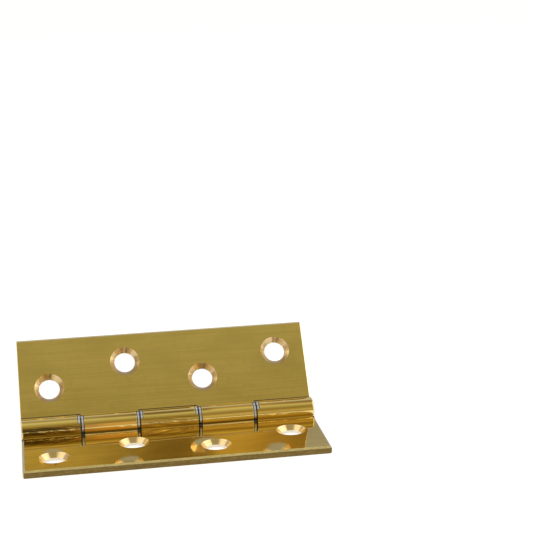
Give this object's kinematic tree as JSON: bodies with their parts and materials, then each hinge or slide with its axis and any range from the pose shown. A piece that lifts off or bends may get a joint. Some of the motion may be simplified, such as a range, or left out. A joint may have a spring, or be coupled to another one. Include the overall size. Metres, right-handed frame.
{
  "type": "washered butt hinge",
  "caption": "Solid drawn brass butt hinge: interlocking knuckles on a steel pin, keyed steel washers between them, countersunk screw holes in both leaves.",
  "frame": {"origin": "on the fixed leaf's back face, straight below the middle of the pin's axis", "axes": "+X along the pin, -Y out along the fixed leaf, +Z out of the fixed leaf's inner face"},
  "size_m": [0.102, 0.0565, 0.0299],
  "materials": {
    "brass": "polished",
    "washer_steel": "bright",
    "pin_steel": "ground"
  },
  "bodies": {
    "fixed_leaf": {"three_knuckle_leaf": "brass", "hinge_pin": "pin_steel", "fixed_washer_1": "washer_steel", "fixed_washer_2": "washer_steel", "fixed_washer_3": "washer_steel", "fixed_washer_4": "washer_steel"},
    "moving_leaf": {"two_knuckle_leaf": "brass", "moving_washer_1": "washer_steel", "moving_washer_2": "washer_steel", "moving_washer_3": "washer_steel", "moving_washer_4": "washer_steel"}
  },
  "joints": [
    {"name": "leaf_swing", "type": "hinge", "parent": "fixed_leaf", "child": "moving_leaf", "pos_m": [0, 0, 0.00405], "axis": [1, 0, 0], "range_deg": [-144, 126]}
  ]
}
